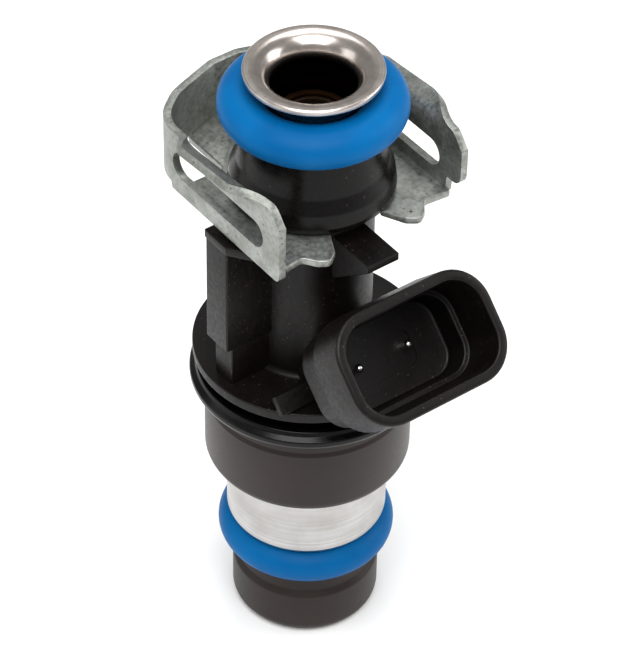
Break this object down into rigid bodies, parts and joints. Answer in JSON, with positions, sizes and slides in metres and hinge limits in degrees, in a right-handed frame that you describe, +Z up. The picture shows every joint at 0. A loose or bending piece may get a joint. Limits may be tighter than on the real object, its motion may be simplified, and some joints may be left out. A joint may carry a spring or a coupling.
{
  "type": "fuel injector",
  "caption": "Top-feed solenoid fuel injector with a tilted electrical connector, rubber sealing rings, an internal lifting valve and a spring-steel rail clip.",
  "frame": {"origin": "centre of the tip's bottom face, on the injector's axis", "axes": "+Z up the axis towards the fuel inlet, +X towards the electrical connector, +Y to the right when the connector is seen from the tip's side at the back"},
  "size_m": [0.029, 0.02, 0.0545],
  "materials": {
    "black_nylon": "glass-filled nylon, satin, black",
    "gloss_black": "glossy black",
    "dark_steel": "dark coated steel, satin",
    "tip_plastic": "moulded plastic, dark, satin",
    "stainless_steel": "turned stainless steel",
    "zinc_plate": "zinc-plated spring steel, mottled",
    "blue_rubber": "blue rubber, satin",
    "green_rubber": "green rubber",
    "bright_tin": "tin-plated contact",
    "brass": "drawn brass",
    "mesh_steel": "fine stainless mesh and sheet",
    "magnetic_steel": "turned magnetic steel",
    "spring_steel": "drawn spring wire",
    "bobbin_nylon": "natural nylon",
    "copper_wire": "enamelled copper wire",
    "ball_steel": "polished ball steel"
  },
  "bodies": {
    "root": {"overmold_body": "black_nylon", "end_ring": "gloss_black", "solenoid_housing": "dark_steel", "tip_retainer": "tip_plastic", "inlet_tube": "stainless_steel", "valve_body": "stainless_steel", "valve_seat": "stainless_steel", "guide_ring": "stainless_steel", "seat_retainer_ring": "stainless_steel", "nonmagnetic_sleeve": "stainless_steel", "upper_o_ring": "blue_rubber", "lower_o_ring": "blue_rubber", "seat_seal": "green_rubber", "bobbin_seal_lower": "green_rubber", "bobbin_seal_upper": "green_rubber", "terminal_pin_left": "bright_tin", "terminal_pin_right": "bright_tin", "inlet_filter_frame": "brass", "adjusting_tube": "brass", "inlet_filter_screen": "mesh_steel", "director_plate": "mesh_steel", "pole_piece": "magnetic_steel", "flux_washer": "magnetic_steel", "return_spring": "spring_steel", "coil_bobbin": "bobbin_nylon", "coil_winding": "copper_wire"},
    "valve": {"armature": "magnetic_steel", "valve_needle": "stainless_steel", "valve_ball": "ball_steel"},
    "clip": {"retaining_clip": "zinc_plate"}
  },
  "joints": [
    {"name": "valve_lift", "type": "slide", "parent": "root", "child": "valve", "axis": [0, 0, 1], "range_m": [0, 0.0001], "stiffness_N_per_m": 2000, "springref_m": -0.001, "deforming": ["return_spring"]},
    {"name": "clip_slide", "type": "slide", "parent": "root", "child": "clip", "axis": [-1, 0, 0], "range_m": [0, 0.018]}
  ]
}
